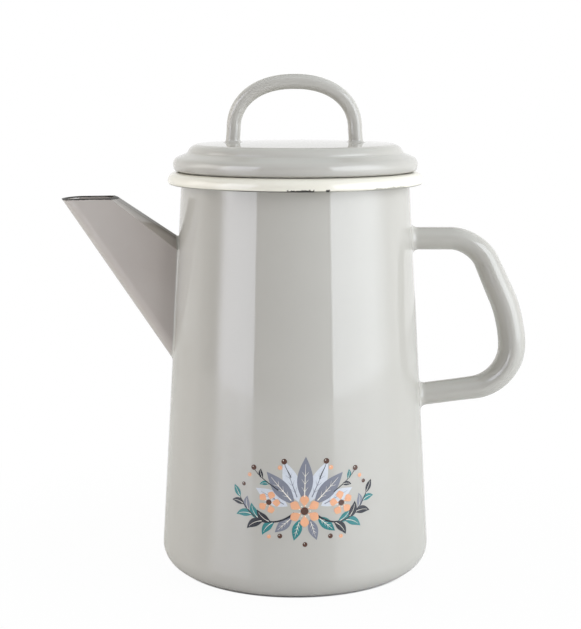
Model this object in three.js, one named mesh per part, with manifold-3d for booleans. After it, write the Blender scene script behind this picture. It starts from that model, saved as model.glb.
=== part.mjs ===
// An enamelled steel coffee pot: tapered body, flat-sided spout, hollow loop handle and a lift-off lid.
// Millimetres, +Z up. The origin is the centre of the base, on the surface that the pot stands on.
// The spout points along -X and the handle along +X.
import * as THREE from "three";
import { mergeVertices, toCreasedNormals } from "three/addons/utils/BufferGeometryUtils.js";
import Module from "manifold-3d";

// Driving dimensions of the body
const POT_HEIGHT = 190.6; // from the table to the crest of the rim
const BASE_RADIUS = 65; // outside of the wall's cone, carried down to the table
const MOUTH_RADIUS = 53.8; // outside of the wall where the rim ring joins it
const PAN_TOP = 18; // height of the joint between base pan and wall
const SHEET = 1.2; // steel with its enamel on both sides
const CORNER_RADIUS = 11; // outside radius between base and wall
const BEAD_RADIUS = 43; // middle of the stiffening ring pressed up into the base
const BEAD_WIDTH = 7;
const BEAD_DEPTH = 1;
const BEAD_SLOPE_WIDTH = 1.6;

// Driving dimensions of the rim ring
const RIM_LAP = 3.6; // from the crest down to the joint with the wall, behind the rim's skirt
const CREST_BEND = 1.5;
const RIM_WIDTH = 7.3; // from the middle of the sheet at the crest out to the rim's edge
const RIM_DROP = 0.9; // how far the rim's top drops from its crest to its shoulder
const SHOULDER_BEND = 3.7;
const SKIRT_HEIGHT = 6.1; // from the rim's crest down to its lowest line
const LIP_BEND = 0.8;
const LIP_LENGTH = 2; // turned-in edge under the rim

// Driving dimensions of the spout
const SPOUT_REACH = 55.9; // from the wall to the pouring edge
const MOUTH_LENGTH = 26; // from the pouring edge back to the heel of the spout's mouth
const TIP_DROP = 13.3; // from the rim's crest down to the pouring edge
const HEEL_RISE = 0.6; // of the heel above the pouring edge
const ROOT_DROP = 32.1; // from the rim's crest down to where the spout's upper edge meets the wall
const ROOT_LENGTH = 58.1; // from there down to where its lower edge meets the wall
const SPOUT_MOUTH_WIDTH = 19.6;
const SPOUT_ROOT_WIDTH = 22.5;
const SPOUT_SHEET = 1.1;
const MOUTH_NOSE = 11; // length of the rounded pouring end
const ROOT_NOSE = 17;
const MOUTH_BACK = 4.3; // how far the back bows out beyond the cheeks
const ROOT_BACK = 5;

// Driving dimensions of the strainer holes, punched in the wall behind the spout
const HOLE_DIAMETER = 4.6;
const HOLE_PITCH = 6.8;
const HOLE_ROWS = 7;
const HOLES_IN_WIDE_ROW = 3;

// Driving dimensions of the loop handle, along the middle of its tube
const HANDLE_DROP = 32.2; // from the rim's crest down to the upper bar
const UPPER_BAR_LENGTH = 30.4; // from the wall to the upper corner
const GRIP_REACH = 48.7; // from the wall at the upper bar to the grip
const KNEE_DROP = 39.3; // from the upper bar down to the knee
const LOWER_CORNER_DROP = 70; // from the upper bar down to the lower corner
const LOWER_BAR_SLOPE_DEG = 7.5;
const UPPER_BEND = 19.4;
const KNEE_BEND = 45;
const LOWER_BEND = 23.4;
const HANDLE_END_HEIGHT = 10.5; // section where it meets the wall
const HANDLE_END_WIDTH = 14;
const HANDLE_GRIP_HEIGHT = 12.8; // section in the middle of the grip
const HANDLE_GRIP_WIDTH = 19;
const HANDLE_SHEET = 1;
const SWELL_START = 17.5; // along the tube from the wall to where the section starts to grow
const SWELL_LENGTH = 42.5;
const HANDLE_STEP = 9; // longest stretch of tube between two sections
const VENT_DIAMETER = 3; // lets the air out of the tube while the enamel is fired
const VENT_INSET = 27; // from the lower corner of the handle towards the wall

// Driving dimensions of the lid, along its outside unless stated
const LID_SHEET = 1;
const CROWN_RISE = 13.6; // from the rim's crest up to the top of the lid at its centre
const CROWN_FALL_DEG = 2.3; // slope of the top where the crown ends
const CROWN_INSET = 18; // from the lid's outermost line in to the crown
const STEP_INSET = 8.4; // from that line in to the corner of the step round the crown
const STEP_BEND = 5.2;
const VALLEY_INSET = 6.9;
const VALLEY_RISE = 8.5; // from the rim's crest
const VALLEY_BEND = 1.6;
const LID_MARGIN = 2.5; // from the rim's edge in to the lid's outermost line
const ROLL_RISE = 5.5; // from the rim's crest to the outer corner
const ROLL_BEND = 3.6;
const ROLL_FLARE = 0.42; // of the outer corner beyond the outermost line
const FOOT_INSET = 0.6; // from the outermost line in to the lid's lower edge
const LID_LIP = 2.2; // turned-in edge that rests on the rim
const LID_LIP_BEND = 0.9;
const SEAT_CLEARANCE = 0.35; // between the lid's edge and the rim that it rests on
const COLLAR_CLEARANCE = 0.9; // between the lid's collar and the narrowest part of the mouth
const COLLAR_DEPTH = 14; // how far the collar reaches below the rim's crest
const COLLAR_TAPER_LENGTH = 3; // lower edge, drawn in so that the lid finds the mouth
const COLLAR_TAPER = 0.8;

// Driving dimensions of the lid's bow handle, along the middle of its bar
const BOW_LEG = 5.4; // straight part of its legs above the crown
const BOW_RISE = 22.5; // of the arch above its legs
const BOW_FOOT_RADIUS = 29.4;
const BOW_SPRING_RADIUS = 28.55; // half the width of the arch where its curve starts
const BOW_FOOT_THICKNESS = 6.7;
const BOW_TOP_THICKNESS = 7.1;
const BOW_WIDTH = 11;
const BOW_OFFSET = 0.5; // of the whole bow from the pot's axis towards the spout

// Joints between pieces
const WELD_LEG = 3; // size of the enamelled weld bead round each end of the loop handle
const SPOUT_WELD_LEG = 1.4;
const BOW_WELD_LEG = 1.8;
const GAP = 0.3; // clearance between pieces that meet
const OVERRUN = 5; // how far a piece or a cutter runs past what trims it

// Fineness and section shape
const TURNS = 48;
const ARC_SAG = 0.12; // how far a facet may lie inside its bend
const CROWN_STEPS = 4;
const SPOUT_ARC_STEPS = 10; // facets round the spout's nose, and round its back
const SECTION_POINTS = 16;
const BOW_STEPS = 14;
const HOLE_SIDES = 10;
const SEARCH_STEPS = 40;
const CREASE_DEG = 35;
const MERGE_DISTANCE = 0.001;
const BACK_EXPONENT = 1.65; // of the bow of the spout's back: 1 is an ellipse, 2 has a crease on each side
const BAR_EXPONENT = 2.5; // of the rounded section of handle and bow: 2 is an ellipse
const ARCH_EXPONENT = 2.22; // of the bow's arch

const wasm = await Module();
wasm.setup();
const radians = THREE.MathUtils.degToRad;

// Closed bodies

function signedVolume(geometry) {
  const position = geometry.getAttribute("position");
  const corner = [new THREE.Vector3(), new THREE.Vector3(), new THREE.Vector3()];
  let sum = 0;
  for (let i = 0; i < geometry.index.count; i += 3) {
    corner.forEach((v, k) => v.fromBufferAttribute(position, geometry.index.getX(i + k)));
    sum += corner[0].dot(corner[1].clone().cross(corner[2]));
  }
  return sum / 6;
}

// Keeps only the positions, joins the vertices that coincide and turns the faces outwards
function closedBody(geometry) {
  const bare = new THREE.BufferGeometry();
  bare.setAttribute("position", geometry.getAttribute("position"));
  bare.setIndex(geometry.index);
  const merged = mergeVertices(bare, MERGE_DISTANCE);
  const kept = [];
  for (let i = 0; i < merged.index.count; i += 3) {
    const [a, b, c] = [0, 1, 2].map((k) => merged.index.getX(i + k));
    if (a !== b && b !== c && c !== a) kept.push(a, b, c);
  }
  merged.setIndex(kept);
  if (signedVolume(merged) < 0) merged.setIndex(kept.reverse());
  return merged;
}

function solidOf(geometry) {
  const vertProperties = geometry.getAttribute("position").array;
  const triVerts = new Uint32Array(geometry.index.array);
  return new wasm.Manifold(new wasm.Mesh({ numProp: 3, vertProperties, triVerts }));
}

function geometryOf(solid) {
  const mesh = solid.getMesh();
  const geometry = new THREE.BufferGeometry();
  geometry.setAttribute("position", new THREE.BufferAttribute(mesh.vertProperties, 3));
  return geometry.setIndex(new THREE.BufferAttribute(mesh.triVerts, 1));
}

function cutAway(geometry, ...cutters) {
  return geometryOf(cutters.reduce((left, cutter) => left.subtract(solidOf(cutter)), solidOf(geometry)));
}

// A skin that joins each ring of points to the next, and the last ring to the first.
// A bar's first and last rings shrink to a point.
function ringBody(rings) {
  const around = rings[0].length;
  const index = [];
  rings.forEach((ring, i) => {
    const here = i * around;
    const there = ((i + 1) % rings.length) * around;
    ring.forEach((_, k) => {
      const next = (k + 1) % around;
      index.push(here + k, there + k, there + next, here + k, there + next, here + next);
    });
  });
  const geometry = new THREE.BufferGeometry().setFromPoints(rings.flat());
  return closedBody(geometry.setIndex(index));
}

// Sheet metal turned about the pot's axis

// A line through corners [across, up, bend radius], with an arc at each corner that has a bend
function bentLine(corners) {
  const at = corners.map(([across, up]) => new THREE.Vector2(across, up));
  const last = at.length - 1;
  const leg = at.slice(0, last).map((point, i) => at[i + 1].clone().sub(point));
  const turn = at.map((_, i) => {
    if (i === 0 || i === last) return 0;
    return Math.atan2(leg[i - 1].cross(leg[i]), leg[i - 1].dot(leg[i]));
  });
  const reach = corners.map(([, , bend = 0], i) => bend * Math.tan(Math.abs(turn[i]) / 2));
  leg.forEach((side, i) => {
    const shorten = Math.min(1, side.length() / Math.max(reach[i] + reach[i + 1], MERGE_DISTANCE));
    reach[i] *= shorten;
    reach[i + 1] *= shorten;
  });
  const points = at.flatMap((corner, i) => {
    if (reach[i] === 0) return [corner];
    const bend = reach[i] / Math.tan(Math.abs(turn[i]) / 2);
    const along = leg[i - 1].clone().normalize();
    const start = corner.clone().addScaledVector(along, -reach[i]);
    const inward = new THREE.Vector2(-along.y, along.x).multiplyScalar(Math.sign(turn[i]));
    const centre = start.clone().addScaledVector(inward, bend);
    const facet = 2 * Math.acos(Math.max(0, 1 - ARC_SAG / bend));
    const steps = Math.max(2, Math.ceil(Math.abs(turn[i]) / facet));
    return Array.from({ length: steps + 1 }, (_, k) => {
      return start.clone().rotateAround(centre, (turn[i] * k) / steps);
    });
  });
  return points.filter((point, i) => i === 0 || point.distanceTo(points[i - 1]) > MERGE_DISTANCE);
}

// The same line moved sideways to its left, with mitred corners; a point on the axis stays on it
function offsetLine(line, distance) {
  const side = line.slice(1).map((point, i) => {
    const along = point.clone().sub(line[i]).normalize();
    return new THREE.Vector2(-along.y, along.x);
  });
  return line.map((point, i) => {
    if (point.x === 0) return new THREE.Vector2(0, point.y + distance);
    const before = side[Math.max(i - 1, 0)];
    const after = side[Math.min(i, side.length - 1)];
    const mitre = before.clone().add(after).divideScalar(1 + before.dot(after));
    return point.clone().addScaledVector(mitre, distance);
  });
}

function turned(section) {
  return closedBody(new THREE.LatheGeometry(section, TURNS).rotateX(Math.PI / 2));
}

// A sheet that follows a line, with its thickness to the left and to the right of it
function turnedSheet(line, left, right) {
  const section = [...offsetLine(line, left), ...offsetLine(line, -right).reverse()];
  if (section[0].x > 0) section.push(section[0].clone());
  return turned(section);
}

// Tubes and bars

// A rounded section square to a line that lies in the XZ plane
function barSection(centre, outward, height, width) {
  return Array.from({ length: SECTION_POINTS }, (_, k) => {
    const angle = (k / SECTION_POINTS) * Math.PI * 2;
    const share = (value) => Math.sign(value) * Math.abs(value) ** (2 / BAR_EXPONENT);
    const point = new THREE.Vector3(centre.x, (share(Math.sin(angle)) * width) / 2, centre.y);
    const lift = (share(Math.cos(angle)) * height) / 2;
    return point.add(new THREE.Vector3(outward.x * lift, 0, outward.y * lift));
  });
}

// Sections along a line; size gives each one's height and width from its place in the line
function barSections(line, size) {
  const outward = offsetLine(line, 1).map((point, i) => point.sub(line[i]));
  return line.map((centre, i) => barSection(centre, outward[i], ...size(i)));
}

function shrunkToPoint(ring) {
  const centre = ring.reduce((sum, point) => sum.add(point), new THREE.Vector3());
  return ring.map(() => centre.clone().divideScalar(ring.length));
}

// Surfaces that carry other pieces: height above the surface, and its outward direction

const wallTop = POT_HEIGHT - RIM_LAP;
const wallSlope = (BASE_RADIUS - MOUTH_RADIUS) / wallTop;
const crownTop = POT_HEIGHT + CROWN_RISE;

function wallRadius(height, clearance = 0) {
  return BASE_RADIUS - wallSlope * height + clearance * Math.hypot(1, wallSlope);
}

const crestRadius = wallRadius(POT_HEIGHT - SHEET / 2, -SHEET / 2);
const rimRadius = crestRadius + RIM_WIDTH;
const lidRadius = rimRadius - LID_MARGIN;
const crownSpan = lidRadius - CROWN_INSET;
const crownBend = crownSpan / Math.sin(radians(CROWN_FALL_DEG));
const crownCentre = new THREE.Vector3(0, 0, crownTop - crownBend);

const wall = {
  above: (point) => Math.hypot(point.x, point.y) - wallRadius(point.z),
  normal(point) {
    const radius = Math.hypot(point.x, point.y);
    return new THREE.Vector3(point.x / radius, point.y / radius, wallSlope).normalize();
  },
};

const crown = {
  above: (point) => point.distanceTo(crownCentre) - crownBend,
  normal: (point) => point.clone().sub(crownCentre).normalize(),
};

function meet(carrier, start, direction, reach) {
  let near = 0;
  let far = reach;
  for (let i = 0; i < SEARCH_STEPS; i += 1) {
    const middle = (near + far) / 2;
    if (carrier.above(start.clone().addScaledVector(direction, middle)) > 0) near = middle;
    else far = middle;
  }
  return start.clone().addScaledVector(direction, far);
}

// A hollow-faced bead round the root of a piece. The piece's skin runs from one ring to the other,
// and the bead lies where it meets the carrier.
function weldBead(outerRing, innerRing, carrier, leg) {
  const run = outerRing.map((point, k) => innerRing[k].clone().sub(point));
  const foot = outerRing.map((point, k) => {
    return meet(carrier, point, run[k].clone().normalize(), run[k].length());
  });
  const middle = shrunkToPoint(foot)[0];
  const sections = foot.map((point, k) => {
    const before = foot[(k + foot.length - 1) % foot.length];
    const round = foot[(k + 1) % foot.length].clone().sub(before);
    const skin = round.cross(run[k]).normalize();
    if (skin.dot(point.clone().sub(middle)) < 0) skin.negate();
    const floor = carrier.normal(point);
    const square = 1 - skin.dot(floor) ** 2; // squared sine of the angle between the two surfaces
    const up = floor.clone().addScaledVector(skin, -skin.dot(floor)).normalize();
    const out = skin.clone().addScaledVector(floor, -skin.dot(floor)).normalize();
    const heel = point.clone().add(up.clone().add(out).multiplyScalar(GAP / Math.sqrt(square)));
    const top = heel.clone().addScaledVector(up, leg);
    const toe = heel.clone().addScaledVector(out, leg);
    const face = new THREE.QuadraticBezierCurve3(top, heel, toe).getPoints(3);
    return [heel, ...face];
  });
  return ringBody(sections);
}

// Body

const beadInner = BEAD_RADIUS - BEAD_WIDTH / 2;
const beadOuter = BEAD_RADIUS + BEAD_WIDTH / 2;
const panEdge = PAN_TOP - GAP / 2;
const basePan = turnedSheet(
  bentLine([
    [0, 0],
    [beadInner - BEAD_SLOPE_WIDTH, 0],
    [beadInner, BEAD_DEPTH],
    [beadOuter, BEAD_DEPTH],
    [beadOuter + BEAD_SLOPE_WIDTH, 0],
    [wallRadius(0), 0, CORNER_RADIUS],
    [wallRadius(panEdge), panEdge],
  ]),
  SHEET,
  0,
);

const rootHighHeight = POT_HEIGHT - ROOT_DROP;
const rootLowHeight = rootHighHeight - ROOT_LENGTH;
const strainerHoles = Array.from({ length: HOLE_ROWS }, (_, row) => {
  const count = HOLES_IN_WIDE_ROW - (row % 2);
  const rowPitch = HOLE_PITCH * Math.sin(Math.PI / 3);
  const height = (rootLowHeight + rootHighHeight) / 2 + (row - (HOLE_ROWS - 1) / 2) * rowPitch;
  return Array.from({ length: count }, (_, column) => {
    const side = (column - (count - 1) / 2) * HOLE_PITCH;
    const cutter = new THREE.CylinderGeometry(
      HOLE_DIAMETER / 2,
      HOLE_DIAMETER / 2,
      2 * OVERRUN,
      HOLE_SIDES,
    );
    return closedBody(cutter.rotateZ(Math.PI / 2).translate(-wallRadius(height), side, height));
  });
}).flat();

const wallFoot = PAN_TOP + GAP / 2;
const wallEdge = wallTop - GAP / 2;
const sideWall = cutAway(
  turnedSheet(
    [
      new THREE.Vector2(wallRadius(wallFoot), wallFoot),
      new THREE.Vector2(wallRadius(wallEdge), wallEdge),
    ],
    SHEET,
    0,
  ),
  ...strainerHoles,
);

const rimStart = wallTop + GAP / 2;
const rimTop = POT_HEIGHT - SHEET / 2;
const rimSide = rimRadius - SHEET / 2;
const rimBottom = POT_HEIGHT - SKIRT_HEIGHT + SHEET / 2;
const rimRing = turnedSheet(
  bentLine([
    [wallRadius(rimStart, -SHEET / 2), rimStart],
    [crestRadius, rimTop, CREST_BEND],
    [rimSide, rimTop - RIM_DROP, SHOULDER_BEND],
    [rimSide, rimBottom, LIP_BEND],
    [rimSide - LIP_LENGTH, rimBottom],
  ]),
  SHEET / 2,
  SHEET / 2,
);

// What the wall's outside trims: everything inside its cone, grown by a clearance
function insideWall(clearance) {
  const foot = -OVERRUN;
  const top = POT_HEIGHT;
  return turned([
    new THREE.Vector2(0, foot),
    new THREE.Vector2(wallRadius(foot, clearance), foot),
    new THREE.Vector2(wallRadius(top, clearance), top),
    new THREE.Vector2(0, top),
  ]);
}

// Spout

const tipHeight = POT_HEIGHT - TIP_DROP;
const tip = new THREE.Vector3(-wallRadius(tipHeight) - SPOUT_REACH, 0, tipHeight);
const heel = tip.clone().add(new THREE.Vector3(MOUTH_LENGTH, 0, HEEL_RISE));
const rootLow = new THREE.Vector3(-wallRadius(rootLowHeight), 0, rootLowHeight);
const rootHigh = new THREE.Vector3(-wallRadius(rootHighHeight), 0, rootHighHeight);

// One end of the spout: a rounded nose at its low point, straight cheeks and a back that bows out
function spoutOutline(low, high, width, nose, back, otherLow, otherHigh, inset) {
  const axis = high.clone().sub(low).normalize();
  const slant = (from, to) => Math.sin(axis.angleTo(to.clone().sub(from)));
  const lowInset = inset / slant(low, otherLow);
  const length = high.distanceTo(low) - lowInset - inset / slant(high, otherHigh);
  const half = width / 2 - inset;
  const arc = (across, along) => Array.from({ length: SPOUT_ARC_STEPS + 1 }, (_, k) => {
    const angle = (k / SPOUT_ARC_STEPS - 0.5) * Math.PI;
    const place = low.clone().addScaledVector(axis, along(Math.cos(angle)) + lowInset);
    return place.setY(across * Math.sin(angle));
  });
  return [
    ...arc(-half, (share) => nose * (1 - share)),
    ...arc(half, (share) => length - back + back * share ** BACK_EXPONENT),
  ];
}

// The spout's skin at its mouth, and past its root inside the wall
function spoutSkin(inset) {
  const mouth = spoutOutline(
    tip, heel, SPOUT_MOUTH_WIDTH, MOUTH_NOSE, MOUTH_BACK, rootLow, rootHigh, inset,
  );
  const root = spoutOutline(
    rootLow, rootHigh, SPOUT_ROOT_WIDTH, ROOT_NOSE, ROOT_BACK, tip, heel, inset,
  );
  const buried = root.map((point, k) => {
    const run = point.clone().sub(mouth[k]);
    return point.clone().addScaledVector(run.normalize(), OVERRUN);
  });
  return [mouth, buried];
}

const [mouthOutside, rootOutside] = spoutSkin(0);
const [mouthInside, rootInside] = spoutSkin(SPOUT_SHEET);
const spout = cutAway(
  ringBody([mouthOutside, rootOutside, rootInside, mouthInside]),
  insideWall(GAP),
);
const spoutWeld = weldBead(mouthOutside, rootOutside, wall, SPOUT_WELD_LEG);

// Loop handle

const handleTop = POT_HEIGHT - HANDLE_DROP;
const gripRadius = wallRadius(handleTop) + GRIP_REACH;
const lowerCorner = handleTop - LOWER_CORNER_DROP;
const lowerEnd = wallRadius(lowerCorner) - OVERRUN;

function lowerBarHeight(radius) {
  return lowerCorner - (gripRadius - radius) * Math.tan(radians(LOWER_BAR_SLOPE_DEG));
}

// Adds points so that no stretch is longer than a step
function subdivided(line, step) {
  return line.flatMap((point, i) => {
    if (i === 0) return [point];
    const steps = Math.max(1, Math.ceil(line[i - 1].distanceTo(point) / step));
    return Array.from({ length: steps }, (_, k) => line[i - 1].clone().lerp(point, (k + 1) / steps));
  });
}

const handleLine = subdivided(
  bentLine([
    [wallRadius(handleTop) - OVERRUN, handleTop],
    [wallRadius(handleTop) + UPPER_BAR_LENGTH, handleTop, UPPER_BEND],
    [gripRadius, handleTop - KNEE_DROP, KNEE_BEND],
    [gripRadius, lowerCorner, LOWER_BEND],
    [lowerEnd, lowerBarHeight(lowerEnd)],
  ]),
  HANDLE_STEP,
);
const handleRun = handleLine.map((_, i) => {
  return handleLine.slice(1, i + 1).reduce((sum, point, k) => sum + point.distanceTo(handleLine[k]), 0);
});

function handleSkin(inset) {
  return barSections(handleLine, (i) => {
    const fromEnd = Math.min(handleRun[i], handleRun.at(-1) - handleRun[i]) - OVERRUN;
    const swell = THREE.MathUtils.smoothstep(fromEnd, SWELL_START, SWELL_START + SWELL_LENGTH);
    const height = THREE.MathUtils.lerp(HANDLE_END_HEIGHT, HANDLE_GRIP_HEIGHT, swell);
    const width = THREE.MathUtils.lerp(HANDLE_END_WIDTH, HANDLE_GRIP_WIDTH, swell);
    return [height - 2 * inset, width - 2 * inset];
  });
}

const handleOutside = handleSkin(0);
const ventRadius = gripRadius - VENT_INSET;
const vent = closedBody(
  new THREE.CylinderGeometry(VENT_DIAMETER / 2, VENT_DIAMETER / 2, HANDLE_GRIP_HEIGHT, HOLE_SIDES)
    .rotateX(Math.PI / 2)
    .translate(ventRadius, 0, lowerBarHeight(ventRadius) - HANDLE_GRIP_HEIGHT / 2),
);
const handle = cutAway(
  ringBody([...handleOutside, ...handleSkin(HANDLE_SHEET).reverse()]),
  insideWall(GAP),
  vent,
);
const handleWeldUpper = weldBead(handleOutside[1], handleOutside[0], wall, WELD_LEG);
const handleWeldLower = weldBead(handleOutside.at(-2), handleOutside.at(-1), wall, WELD_LEG);

// Lid

const crownLine = Array.from({ length: CROWN_STEPS }, (_, i) => {
  const angle = (radians(CROWN_FALL_DEG) * i) / CROWN_STEPS;
  return new THREE.Vector2(Math.sin(angle), Math.cos(angle))
    .multiplyScalar(crownBend)
    .add(new THREE.Vector2(0, crownCentre.z));
});
const crownEdge = crownCentre.z + crownBend * Math.cos(radians(CROWN_FALL_DEG));
const stepTop = crownEdge - (CROWN_INSET - STEP_INSET) * Math.tan(radians(CROWN_FALL_DEG));
const lidFoot = POT_HEIGHT + SEAT_CLEARANCE;
const valleyHeight = POT_HEIGHT + VALLEY_RISE;
const valleyRadius = lidRadius - VALLEY_INSET;
const lidDome = turnedSheet(
  [
    ...crownLine,
    ...bentLine([
      [crownSpan, crownEdge],
      [lidRadius - STEP_INSET, stepTop, STEP_BEND],
      [valleyRadius, valleyHeight, VALLEY_BEND],
      [lidRadius + ROLL_FLARE, POT_HEIGHT + ROLL_RISE, ROLL_BEND],
      [lidRadius - FOOT_INSET, lidFoot, LID_LIP_BEND],
      [lidRadius - LID_LIP, lidFoot],
    ]),
  ],
  0,
  LID_SHEET,
);

const collarRadius = crestRadius - SHEET / 2 - COLLAR_CLEARANCE;
const apronSlope = (VALLEY_RISE - ROLL_RISE) / VALLEY_INSET;
const apronUnderside = (LID_SHEET + GAP) * Math.hypot(1, apronSlope);
const collarTop = valleyHeight - (collarRadius - valleyRadius) * apronSlope - apronUnderside;
const collarFoot = POT_HEIGHT - COLLAR_DEPTH;
const lidCollar = turnedSheet(
  bentLine([
    [collarRadius, collarTop],
    [collarRadius, collarFoot + COLLAR_TAPER_LENGTH],
    [collarRadius - COLLAR_TAPER, collarFoot],
  ]),
  0,
  LID_SHEET,
);

// Bow handle of the lid

const springHeight = crownTop + BOW_LEG;
const archLine = Array.from({ length: BOW_STEPS + 1 }, (_, i) => {
  const angle = Math.PI * (1 - i / BOW_STEPS);
  const across = Math.sign(Math.cos(angle)) * Math.abs(Math.cos(angle)) ** (2 / ARCH_EXPONENT);
  const up = Math.abs(Math.sin(angle)) ** (2 / ARCH_EXPONENT);
  return new THREE.Vector2(BOW_SPRING_RADIUS * across - BOW_OFFSET, springHeight + BOW_RISE * up);
});
const bowFoot = crownTop - OVERRUN;
const bowLine = [
  new THREE.Vector2(-BOW_FOOT_RADIUS - BOW_OFFSET, bowFoot),
  ...archLine,
  new THREE.Vector2(BOW_FOOT_RADIUS - BOW_OFFSET, bowFoot),
];
const bowSections = barSections(bowLine, (i) => {
  const share = Math.max(0, bowLine[i].y - springHeight) / BOW_RISE;
  return [THREE.MathUtils.lerp(BOW_FOOT_THICKNESS, BOW_TOP_THICKNESS, share), BOW_WIDTH];
});

const underCrown = turned([
  new THREE.Vector2(0, bowFoot - OVERRUN),
  new THREE.Vector2(crownSpan, bowFoot - OVERRUN),
  new THREE.Vector2(crownSpan, crownEdge + GAP),
  ...crownLine.toReversed().map((point) => new THREE.Vector2(point.x, point.y + GAP)),
]);
const lidHandle = cutAway(
  ringBody([shrunkToPoint(bowSections[0]), ...bowSections, shrunkToPoint(bowSections.at(-1))]),
  underCrown,
);
const lidHandleWeldLeft = weldBead(bowSections[1], bowSections[0], crown, BOW_WELD_LEG);
const lidHandleWeldRight = weldBead(bowSections.at(-2), bowSections.at(-1), crown, BOW_WELD_LEG);

// Materials and assembly

const ENAMEL = { roughness: 0.16, metalness: 0 };
const GREY = 0xb7b4ad;
const CREAM = 0xeeebdd;

function piece(name, geometry, colour) {
  const material = new THREE.MeshStandardMaterial({ ...ENAMEL, color: colour });
  const mesh = new THREE.Mesh(toCreasedNormals(geometry, radians(CREASE_DEG)), material);
  mesh.name = name;
  return mesh;
}

const lid = new THREE.Group().add(
  piece("lid_dome", lidDome, GREY),
  piece("lid_collar", lidCollar, CREAM),
  piece("lid_handle", lidHandle, GREY),
  piece("lid_handle_weld_left", lidHandleWeldLeft, GREY),
  piece("lid_handle_weld_right", lidHandleWeldRight, GREY),
);

const pot = new THREE.Group().add(
  piece("side_wall", sideWall, GREY),
  piece("base_pan", basePan, GREY),
  piece("rim_ring", rimRing, CREAM),
  piece("spout", spout, GREY),
  piece("spout_weld", spoutWeld, GREY),
  piece("handle", handle, GREY),
  piece("handle_weld_upper", handleWeldUpper, GREY),
  piece("handle_weld_lower", handleWeldLower, GREY),
);

export default new THREE.Group().add(pot, lid);
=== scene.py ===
# Finish of the enamelled coffee pot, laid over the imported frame.
# Pieces are modelled in millimetres and scaled to metres when they are done.
# The spout points towards -X, the loop handle towards +X, and the printed front towards -Y.
import math

import bmesh
import bpy
from mathutils import Matrix, Vector


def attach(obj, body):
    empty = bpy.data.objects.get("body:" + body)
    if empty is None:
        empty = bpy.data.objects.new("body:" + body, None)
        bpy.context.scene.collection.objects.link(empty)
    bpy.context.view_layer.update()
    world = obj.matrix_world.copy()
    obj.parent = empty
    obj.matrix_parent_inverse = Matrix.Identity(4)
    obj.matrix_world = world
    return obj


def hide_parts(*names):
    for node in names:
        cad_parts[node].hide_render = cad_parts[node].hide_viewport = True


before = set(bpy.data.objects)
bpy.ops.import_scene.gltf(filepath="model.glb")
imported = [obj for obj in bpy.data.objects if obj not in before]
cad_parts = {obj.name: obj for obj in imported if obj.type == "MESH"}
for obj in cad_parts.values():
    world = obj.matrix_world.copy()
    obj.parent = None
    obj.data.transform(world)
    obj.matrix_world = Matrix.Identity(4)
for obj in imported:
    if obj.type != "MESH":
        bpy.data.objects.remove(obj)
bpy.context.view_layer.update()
mm = 0.001
print("frame loaded:", len(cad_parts), "nodes")

# Camera: the photograph's viewpoint, a little above the lid and looking down
view = {"place": (-0.002307, -0.72123, 0.23448), "tilt": 0.1553, "lens": 87.09, "sensor": 36}

cameraData = bpy.data.cameras.new("camera")
cameraData.lens = view["lens"]
cameraData.sensor_width = view["sensor"]
cameraObject = bpy.data.objects.new("camera", cameraData)
cameraObject.location = view["place"]
cameraObject.rotation_euler = (math.pi / 2 - view["tilt"], 0, 0)
bpy.context.scene.collection.objects.link(cameraObject)
bpy.context.scene.camera = cameraObject
bpy.context.scene.view_settings.view_transform = "Standard"


# Shader maths: a wire is a node's output that can be added, multiplied and compared
class Wire:
    def __init__(self, bench, socket):
        self.bench = bench
        self.socket = socket

    def maths(self, operation, first, second=None):
        inputs = {0: first} if second is None else {0: first, 1: second}
        return self.bench.node("Math", {"operation": operation}, inputs)

    def __add__(self, other):
        return self.maths("ADD", self, other)

    def __radd__(self, other):
        return self.maths("ADD", other, self)

    def __sub__(self, other):
        return self.maths("SUBTRACT", self, other)

    def __rsub__(self, other):
        return self.maths("SUBTRACT", other, self)

    def __mul__(self, other):
        return self.maths("MULTIPLY", self, other)

    def __rmul__(self, other):
        return self.maths("MULTIPLY", other, self)

    def __truediv__(self, other):
        return self.maths("DIVIDE", self, other)

    def step(self, low, high):  # smooth rise from 0 at low to 1 at high
        inputs = {"Value": self, "From Min": low, "From Max": high}
        return self.bench.node("MapRange", {"interpolation_type": "SMOOTHSTEP"}, inputs)

    def larger(self, other):
        return self.maths("MAXIMUM", self, other)

    def smaller(self, other):
        return self.maths("MINIMUM", self, other)

    def unsigned(self):
        return self.maths("ABSOLUTE", self)

    def root(self):
        return self.maths("SQRT", self)

    def bearing(self, ahead):  # angle in radians of a place this far aside and that far ahead
        return self.maths("ARCTAN2", self, ahead)


class Bench:  # the node tree of a material, a lamp or the world
    def __init__(self, owner):
        owner.use_nodes = True
        self.tree = owner.node_tree
        self.tree.nodes.clear()

    def node(self, kind, settings=None, inputs=None, output=0):
        made = self.tree.nodes.new("ShaderNode" + kind)
        for key, value in (settings or {}).items():
            setattr(made, key, value)
        for key, value in (inputs or {}).items():
            if isinstance(value, Wire):
                self.tree.links.new(value.socket, made.inputs[key])
            else:
                made.inputs[key].default_value = value
        return Wire(self, made.outputs[output]) if made.outputs else made

    def axes(self, vector):
        return [self.node("SeparateXYZ", None, {"Vector": vector}, axis) for axis in "XYZ"]

    def mixed(self, share, first, second):  # two colours
        settings = {"data_type": "RGBA"}
        return self.node("Mix", settings, {0: share, 6: first, 7: second}, 2)

    def noise(self, place, scale, detail=2.0, roughness=0.5):
        inputs = {"Vector": place, "Scale": scale, "Detail": detail, "Roughness": roughness}
        return self.node("TexNoise", {"normalize": True}, inputs)

    def finish(self, kind, shader):
        self.node("Output" + kind, None, {"Surface": shader})


def startMaterial(name):
    material = bpy.data.materials.new(name)
    bench = Bench(material)
    return material, bench, bench.node("TexCoord", output="Object")


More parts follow.
